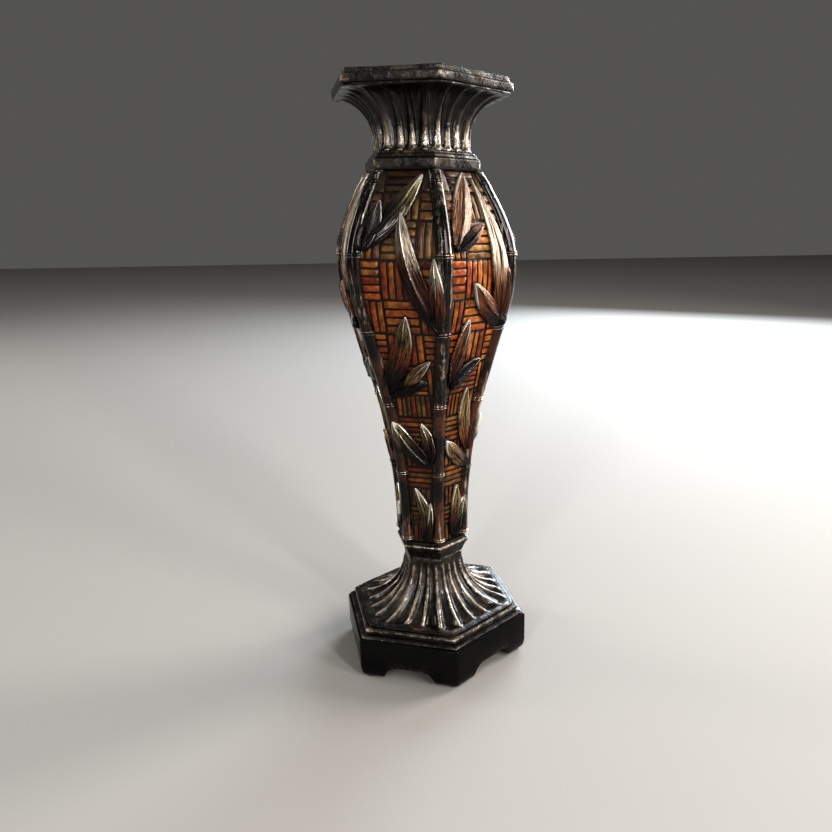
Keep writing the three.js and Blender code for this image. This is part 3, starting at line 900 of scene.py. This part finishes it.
shaft_reach = through([
    (98, 31), (131, 31.6), (163, 34.2), (195, 38.8), (215, 42.8), (245, 51.3), (280, 62),
    (310, 70.3), (328, 72.1), (345, 70.3), (363, 63.8), (381, 54.4), (394, 46.5),
])
cane_radius = through([(98, 4.2), (150, 4.4), (215, 4.8), (300, 5.8), (330, 6), (368, 5.5), (394, 4.6)])
NODE_HEIGHTS = (108, 166, 224, 281, 336.5, 386)
PANEL_BEHIND_REACH = 3
CANE_SIDES = 28
NODE_RING_OFF, NODE_RING_HALF = 0.9, 0.55


def cane_centre(z):
    return shaft_reach(z) - cane_radius(z)


def panel_flat(z):
    return (shaft_reach(z) - PANEL_BEHIND_REACH) * TO_FLAT


def face_heading(face):
    return -2 * math.pi / 3 + (face - 1) * 2 * HALF_SIDE


def on_face(face, across, z, proud):
    """Points on a face of the shaft: across from its middle, and proud of its panel."""
    heading = face_heading(face)
    out = panel_flat(z) + proud
    return np.column_stack([
        out * math.cos(heading) - across * math.sin(heading),
        out * math.sin(heading) + across * math.cos(heading),
        z,
    ])


def cane_proud(across, z):
    """How far the cane beside a face stands above its panel, as a smooth hill."""
    radius = cane_radius(z) + 0.4
    sunk = panel_flat(z) - cane_centre(z) * TO_FLAT
    aside = np.minimum(0, np.abs(across) - cane_centre(z) / 2)
    return np.maximum(0, np.sqrt(np.maximum(0, radius**2 - aside**2)) - sunk)


def cane_heights(foot, top):
    """Heights of a cane's rings of points, close together at its nodes."""
    places = {foot, top, *np.arange(foot, top, 1.6)}
    for node in NODE_HEIGHTS:
        places |= {*np.arange(node - 3, node + 3, 0.35)}
    return np.array(sorted(h for h in places if foot <= h <= top))[:, None]


def cane(face, material):
    """A bamboo cane up one corner of the shaft, with two thin rings at each node."""
    heading = face_heading(face) + HALF_SIDE
    z = cane_heights(*heights_of(f"bamboo_cane_{face}"))
    swell, ringed = 0, 0
    for node in NODE_HEIGHTS:
        off = z - node
        rings = hill(off, NODE_RING_OFF, NODE_RING_HALF) + hill(off, -NODE_RING_OFF, NODE_RING_HALF)
        # The node under the collar gets a negative mark, which holds it dark as painted shade
        under_collar = node == NODE_HEIGHTS[-1]  # smaller there, and black
        swell = swell + 0.75 * (0.4 if under_collar else 1) * rings
        swell = swell + 0.25 * hill(off, 0, 5) - 0.25 * hill(off, 0, 0.4)
        ringed = ringed + rings * (-0.8 if under_collar else 1)
    turn = heading + 2 * math.pi * np.arange(CANE_SIDES)[None, :] / CANE_SIDES
    radius = cane_radius(z) + swell + 0.13 * wobble(face, np.cos(turn), np.sin(turn), z / 30)
    x = cane_centre(z) * math.cos(heading) + radius * np.cos(turn)
    y = cane_centre(z) * math.sin(heading) + radius * np.sin(turn)
    crest = hill(np.cos(turn - heading), 1, 0.35)
    rub = 0.22 * np.minimum(ringed, 1) + 0.2 * wobble(face + 20, z / 60, np.cos(turn)) - 0.08
    # A rubbed streak down each cane's outer crest, also painted highlight: stronger round the upper belly,
    # none in the collar's shade
    rub = rub + crest * (0.06 + 0.16 * smooth(z, 275, 325)) * (1 - smooth(z, 380, 392))
    warm = (1 - 0.85 * smooth(z, 230, 330)) * (0.75 + 0.3 * wobble(face + 30, z / 40)) + 0 * x
    rings = np.stack([x, y, z + 0 * x], axis=2)
    piece = tube_piece(f"cane_{face}", rings, material, "cane_lacquer", rub=rub, warm=warm)
    add_relief(piece, 3.0, 1)
    settle(piece, f"bamboo_cane_{face}")


# ---- Leaves ----

# A leaf's tip and base are (across, height). bow bends it sideways, lift is how high it lies, and
# slim draws its tip out. Its colours run from tip to base, fade is how far down the first gives
# way, and bright is how rubbed its tip is and how strong the painted highlight beside its midrib is.
Leaf = namedtuple("Leaf", "tip base width bow lift colours fade bright slim", defaults=[0.75])
OLIVE, GOLD, SILVER = (0.13, 0.11, 0.05), (0.25, 0.175, 0.08), (0.34, 0.31, 0.25)
COPPER, PINK, WHITE = (0.2, 0.085, 0.033), (0.15, 0.08, 0.042), (0.46, 0.4, 0.33)
RUST, RED, SLATE = (0.13, 0.04, 0.014), (0.06, 0.015, 0.007), (0.02, 0.022, 0.022)
DARK, BLACK = (0.012, 0.006, 0.004), (0.003, 0.002, 0.002)

LEAVES = {
    "A": {
        "upper_leaves": [
            Leaf((14, 391), (-28, 342), 17, 0.05, 0.6, (OLIVE, DARK, BLACK), 0.27, 0.9),
            Leaf((-15, 374), (-27, 340), 13, 0.06, 1.5, (SLATE, DARK, BLACK), 0.4, 0.5),
        ],
        "long_leaves": [
            Leaf((1, 366), (27, 284), 16, -0.05, 1.2, (SILVER, RED, BLACK), 0.25, 1),
            Leaf((27, 335), (27, 285), 12, 0.03, 1.0, (SILVER, RUST, BLACK), 0.36, 0.9),
        ],
        "middle_leaves": [
            Leaf((3, 294), (-17, 240), 16, 0.05, 1.1, (OLIVE, RUST, BLACK), 0.34, 0.8),
            Leaf((18, 261), (-4, 237), 9, -0.05, 1.6, (PINK, GOLD, DARK), 0.55, 0.9),
            Leaf((13, 244), (-17, 233), 13, -0.04, 0.6, (DARK, BLACK, BLACK), 0.3, 0.2),
        ],
        "lower_leaves": [
            Leaf((-17, 211), (8, 174), 14, -0.08, 1.2, (OLIVE, DARK, BLACK), 0.42, 1),
            Leaf((5, 210), (11, 176), 10, 0.06, 0.6, (OLIVE, RED, BLACK), 0.45, 0.9),
            Leaf((-4, 153), (1, 108), 10, 0.1, 1.0, (OLIVE, RED, BLACK), 0.55, 0.8),
            Leaf((8, 141), (3, 106), 7.5, 0.02, 1.2, (OLIVE, DARK, BLACK), 0.55, 1),
        ],
    },
    "B": {
        "upper_leaves": [
            Leaf((2, 393), (-25, 342), 16, 0.02, 0.9, (PINK, PINK, RED), 0.8, 0.7),
            Leaf((6, 358), (-25, 340), 9, 0.02, 1.9, (PINK, DARK, BLACK), 0.3, 0.6),
        ],
        "long_leaves": [
            Leaf((9, 389), (23, 290), 15, 0.02, 1.0, (WHITE, COPPER, RED), 0.62, 0.7, slim=1.25),
            Leaf((-7, 317), (28, 285), 15, -0.06, 1.7, (PINK, RUST, BLACK), 0.25, 0.9),
        ],
        "middle_leaves": [
            Leaf((-8, 291), (-18, 243), 13, 0.03, 1.0, (PINK, RUST, BLACK), 0.36, 0.9),
            Leaf((11, 259), (-15, 238), 12, -0.04, 1.5, (BLACK, BLACK, BLACK), 0.3, 0.9),
        ],
        "lower_leaves": [
            Leaf((3, 236), (12, 182), 12, -0.03, 0.9, (GOLD, COPPER, RED), 0.55, 0.5),
            Leaf((-13, 195), (12, 169), 12, -0.04, 1.5, (GOLD, PINK, SLATE), 0.45, 0.7),
            Leaf((3, 153), (-1, 108), 10, 0.04, 0.9, (GOLD, RED, BLACK), 0.5, 0.8),
            Leaf((10, 140), (1, 106), 8, 0.03, 1.5, (OLIVE, BLACK, BLACK), 0.35, 1),
        ],
    },
}
LEAF_ROWS, LEAF_COLUMNS = 40, 21


def leaves_of(face):
    """The leaf sprays of a face. Odd faces have layout A, as the left one in the photograph."""
    return LEAVES["A" if face % 2 else "B"]


def leaf_half(shape, t):
    """Half the width of a leaf, t from 0 at its tip to 1 at its base."""
    widest = 0.62 ** shape.slim * 0.38**0.5
    return np.maximum(shape.width / 2 * t ** shape.slim * (1 - t) ** 0.5 / widest, 0.5 * t)


def leaf_spine(shape, t):
    """Places along the middle of a leaf, and its sideways direction."""
    (s0, z0), (s1, z1) = shape.tip, shape.base
    run, drop = s1 - s0, z1 - z0
    length = math.hypot(run, drop)
    side = (-drop / length, run / length)
    bend = shape.bow * length * np.sin(math.pi * t)
    return s0 + run * t + side[0] * bend, z0 + drop * t + side[1] * bend, side


def blend(colours, fade, t):
    """The leaf's colour, from tip to middle to base."""
    tip, middle, base = (np.array(c) for c in colours)
    first = 1 / (1 + np.exp(-(t - fade) * 16))[:, None]
    second = 1 / (1 + np.exp(-(t - 0.5 * (1 + fade)) * 14))[:, None]
    colour = (tip * (1 - first) + middle * first) * (1 - second) + base * second
    return np.column_stack([colour, np.ones(len(t))])


def leaf_parts(face, shape, number):
    """One leaf as a closed blade: a ridged, veined top, a flat underside and a thin edge."""
    t = np.repeat(np.linspace(0, 1, LEAF_ROWS) ** 1.15, LEAF_COLUMNS)
    across = np.linspace(-1, 1, LEAF_COLUMNS)
    u = np.tile(np.sign(across) * np.abs(across) ** 1.4, LEAF_ROWS)
    spine_s, spine_z, side = leaf_spine(shape, t)
    half = leaf_half(shape, t)
    seed = 10 * number + face % 2
    s, z = spine_s + side[0] * half * u, spine_z + side[1] * half * u
    fullness = np.minimum(1, half / 4)
    away = np.abs(u)
    # A roof with a raised midrib, a groove each side of it, slanting veins and a curled edge
    height = 2.5 * (1 - away) ** 1.2 + 0.5 * hill(u, 0, 0.09) - 0.3 * hill(away, 0.2, 0.08)
    height = height + 0.13 * np.sin(22 * away + 14 * t) + 0.5 * away**3
    lift = shape.lift + 0.9 * (1 - t) ** 2 + 0.3 * wobble(seed, u / 3, 1.2 * t)
    ground = cane_proud(s, z)
    top = on_face(face, s, z, ground + lift + 0.9 + fullness * height)
    under = on_face(face, s, z, ground + 0.15)
    mottled = t + 0.09 * wobble(seed + 3, u / 2, 2 * t)
    tipped = np.clip(1 - mottled / shape.fade, 0, 1)
    # The tip is rubbed bare, the two lines beside the midrib are painted highlight, and the edge is rubbed
    bare_and_highlight = 0.65 * tipped + 0.6 * hill(away, 0.07, 0.06) + 0.1 * hill(away, 1, 0.08)
    data = {
        "paint": blend(shape.colours, shape.fade, mottled),
        "rub": shape.bright * bare_and_highlight - 0.15 - 0.35 * np.clip(mottled, 0, 1),
        "blade": np.column_stack([u, 3 * t, 0 * t + seed]),
    }
    index = np.arange(len(t)).reshape(LEAF_ROWS, LEAF_COLUMNS)
    a, b, c, d = (part.ravel() for part in (index[:-1, :-1], index[:-1, 1:], index[1:, 1:], index[1:, :-1]))
    count = len(t)
    faces = [*zip(a, d, c, b), *zip(count + a, count + b, count + c, count + d)]
    edge = [*index[0], *index[1:, -1], *index[-1, :-1][::-1], *index[1:-1, 0][::-1]]
    faces += [(i, j, count + j, count + i) for i, j in zip(edge, edge[1:] + edge[:1])]
    both = {key: np.concatenate([values, values]) for key, values in data.items()}
    return np.vstack([top, under]), faces, both


def join_parts(parts):
    """Some (vertices, faces, attributes) bodies as one."""
    vertices, face_lists, data = zip(*parts)
    starts = np.cumsum([0, *map(len, vertices)])
    faces = [tuple(int(start + i) for i in face) for start, some in zip(starts, face_lists) for face in some]
    return np.vstack(vertices), faces, {key: np.concatenate([d[key] for d in data]) for key in data[0]}


def leaf_sprays(face, material):
    for number, (spray, shapes) in enumerate(leaves_of(face).items()):
        parts = [leaf_parts(face, shape, 10 * number + i) for i, shape in enumerate(shapes)]
        vertices, faces, data = join_parts(parts)
        node = f"{spray}_{face}"
        piece = mesh_piece(f"{node}_fine", vertices, faces, material, "leaf_bronze", data)
        add_relief(piece, 2.6, 1)
        settle(piece, node)


# ---- Woven panels ----

ROWS = (394, 379, 360, 333.5, 305.5, 281, 256, 233, 214, 193, 171, 153, 136, 120, 104.3)
BELLY_FOOT, BELLY_TOP = 250, 336
DARKEST, BRIGHTEST = 120, 280
MIDDLE_HALF, NARROWEST = 13.5, 3.5  # half the middle cell, and what a side cell must be wider than
GROOVE = 1.0
ORANGE, AMBER, BRICK = (0.36, 0.105, 0.024), (0.34, 0.14, 0.032), (0.24, 0.06, 0.017)
OCHRE, TAWNY, CLAY = (0.22, 0.13, 0.04), (0.2, 0.11, 0.04), (0.18, 0.085, 0.038)


def leaf_clearance(shapes, s, z):
    """Distance from points to the nearest leaf's outline, negative under a leaf."""
    nearest = np.full(len(s), 99.0)
    along = np.linspace(0.02, 0.98, 18)
    for shape in shapes:
        spine_s, spine_z, _ = leaf_spine(shape, along)
        away = np.hypot(s[:, None] - spine_s, z[:, None] - spine_z) - leaf_half(shape, along)
        nearest = np.minimum(nearest, away.min(1))
    return nearest


def strip_colour(z):
    """Orange round the belly, ochre above it and browner below, each strip a little different,
    and darker and darker down the lower shaft."""
    if z > BELLY_TOP:
        palette = (OCHRE, TAWNY, OCHRE, AMBER, CLAY)
    elif z > BELLY_FOOT:
        palette = (ORANGE, AMBER, ORANGE, BRICK, AMBER)
    else:
        palette = (AMBER, BRICK, TAWNY, OCHRE)
    up = np.clip((z - DARKEST) / (BRIGHTEST - DARKEST), 0, 1)
    return np.array(random.choice(palette)) * random.uniform(0.75, 1.2) * (0.5 + 0.5 * up)


def strips_of_cell(left, right, bottom, top, level):
    """Splits a cell of the weave into level or upright strips: (left, right, bottom, top)."""
    span = top - bottom if level else right - left
    pitch = 5.5 if bottom > BELLY_FOOT else 4.1
    count = max(1, round(span / pitch))
    step = span / count
    for i in range(count):
        start = i * step + GROOVE / 2
        end = (i + 1) * step - GROOVE / 2
        if level:
            yield left + GROOVE / 2, right - GROOVE / 2, bottom + start, bottom + end, True
        else:
            yield left + start, left + end, bottom + GROOVE / 2, top - GROOVE / 2, False


def weave_cells():
    """The (left, right, bottom, top, level) cells of a panel, level and upright by turns."""
    for row, (top, bottom) in enumerate(zip(ROWS, ROWS[1:])):
        middle = (top + bottom) / 2
        edge = cane_centre(middle) / 2 - 1.5
        level = row % 2 == 0
        if edge - MIDDLE_HALF > NARROWEST:
            yield -edge, -MIDDLE_HALF, bottom, top, not level
            yield -MIDDLE_HALF, MIDDLE_HALF, bottom, top, level
            yield MIDDLE_HALF, edge, bottom, top, not level
        else:
            yield -edge, edge, bottom, top, level


# Across a strip: its side, how proud it is, and how much of the dark wash it holds
STRIP_PROFILE = np.array([
    (-1, -1.0, 1), (-1, -0.3, 0.9), (-0.88, 0.12, 0.3), (-0.5, 0.26, 0), (0, 0.3, 0),
    (0.5, 0.26, 0), (0.88, 0.12, 0.3), (1, -0.3, 0.9), (1, -1.0, 1),
])


def strip_parts(face, strip):
    """One strip of the weave: a rounded slat that follows the panel's curve."""
    left, right, bottom, top, level = strip
    half = ((top - bottom) if level else (right - left)) / 2
    centre = ((bottom + top) if level else (left + right)) / 2
    start, end = (left, right) if level else (bottom, top)
    tone = strip_colour((bottom + top) / 2)
    seed = random.randrange(10000)
    tilt = random.uniform(-0.12, 0.12)
    steps = max(3, math.ceil((end - start) / 2))
    # Closer together at the ends, where a strip turns down
    parts = np.concatenate([[0, 0.25 / steps], np.linspace(0, 1, steps + 1)[1:-1], [1 - 0.25 / steps, 1]])
    along = np.repeat(start + (end - start) * parts, len(STRIP_PROFILE))
    aside, proud, wash = np.tile(STRIP_PROFILE, (len(parts), 1)).T
    from_end = np.minimum(along - start, end - along)
    off = centre + aside * half + 0.13 * wobble(seed, along / 9, aside / 3)
    proud = proud + tilt * aside + 0.08 * wobble(seed + 1, along / 6, aside) - 0.4 * hill(from_end, 0, 0.6)
    s, z = (along, off) if level else (off, along)
    data = {
        "paint": np.tile([*tone, 1], (len(s), 1)),
        "rim": np.maximum(wash, hill(from_end, 0, 0.7)),
        "place": np.column_stack([s, z]),
    }
    width = len(STRIP_PROFILE)
    faces = tube_faces(len(parts), width)
    faces += [tuple(range(width))[::-1], tuple((len(parts) - 1) * width + i for i in range(width))]
    if not level:
        faces = [points[::-1] for points in faces]
    return on_face(face, s, z, np.minimum(proud, 0.55) - 0.1), faces, data


BACKING_PROFILE = [(-1, -2.4), (1, -2.4), (1, -0.75), (0, -0.75), (-1, -0.75)]
BACKING_ROWS = 60


def backing_parts(face):
    """The dark ground behind the strips, which runs in under the canes."""
    foot, top = heights_of(f"woven_panel_{face}")
    width = len(BACKING_PROFILE)
    z = np.repeat(np.linspace(foot, top, BACKING_ROWS), width)
    edge = cane_centre(z) / 2 - 0.5
    across, proud = np.tile(BACKING_PROFILE, (BACKING_ROWS, 1)).T
    vertices, faces = closed_tube(on_face(face, across * edge, z, proud).reshape(BACKING_ROWS, width, 3))
    count = len(vertices)
    data = {"paint": np.tile([*DARK, 1], (count, 1)), "rim": np.ones(count), "place": np.zeros((count, 2))}
    return vertices, faces, data


LEAF_WASH_AND_SHADOW, CANE_WASH_AND_SHADOW, CANE_COVER = 2.8, 3, 4.5  # how far the dark wash and painted shadow reach, and what a cane covers
SHADE_START, SHADE_RUN = 362, 22


def wash_and_painted_shade(face, s, z):
    """How dark the weave is painted, from 0 to 1: a dark wash with painted shadow by leaves and canes,
    and painted shade under the collar.
    """
    shapes = [shape for spray in leaves_of(face).values() for shape in spray]
    near_leaf = 1 - np.clip(leaf_clearance(shapes, s, z) / LEAF_WASH_AND_SHADOW, 0, 1)
    canes = cane_centre(np.clip(z, ROWS[-1], ROWS[0]))
    near_cane = 1 - np.clip((canes / 2 - CANE_COVER - np.abs(s)) / CANE_WASH_AND_SHADOW, 0, 1)
    # Painted shade under the collar, deeper on odd faces
    shade = np.clip((z - SHADE_START) / SHADE_RUN, 0, 1) * (0.95 if face % 2 else 0.75)
    return np.maximum.reduce([near_leaf**1.3, near_cane**1.3, shade])


def woven_panel(face, material):
    parts = [backing_parts(face)]
    for cell in weave_cells():
        parts += [strip_parts(face, strip) for strip in strips_of_cell(*cell)]
    vertices, faces, data = join_parts(parts)
    s, z = data.pop("place").T
    tone = 0.66 if face % 2 else 1.0  # odd faces are darker, as the left one in the photograph is: painted shade
    data["paint"][:, :3] *= tone * (1 - 0.92 * wash_and_painted_shade(face, s, z))[:, None]
    piece = mesh_piece(f"weave_{face}", vertices, faces, material, "woven_strips", data)
    piece.data.set_sharp_from_angle(angle=math.radians(50))
    settle(piece, f"woven_panel_{face}")


# ---- Everything together ----


def floor():
    bpy.ops.mesh.primitive_plane_add(size=FLOOR_SIZE, location=(0, 0, 0))
    plane = bpy.context.object
    plane.name = "floor"
    plane.data.materials.append(pale_floor())


def paint_node(node, material):
    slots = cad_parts[node].data.materials
    slots.clear()
    slots.append(material)


make_camera()
make_lights()
floor()

bronze = antique_bronze()
steel = turned_metal("rod_steel", (0.3, 0.3, 0.31), (0.55, 0.55, 0.56), 0.3)
fluted_neck(bronze)
fluted_base(bronze)
base_moulding(bronze)
lower_collar(bronze)
upper_collar(bronze)
rim(bronze)
plinth(black_gloss())
felt_pads(felt())
candle_pan(turned_metal("pan_brass", (0.35, 0.22, 0.08), (0.72, 0.5, 0.22), 0.24))
pricket_spike(steel)
canes, leaves, strips = cane_lacquer(), leaf_bronze(), woven_strips()
for face in FACES:
    cane(face, canes)
    leaf_sprays(face, leaves)
    woven_panel(face, strips)
for node in ("tie_rod", "top_nut", "top_washer", "bottom_nut", "bottom_washer"):
    paint_node(node, steel)
paint_node("shaft_core", core_black())
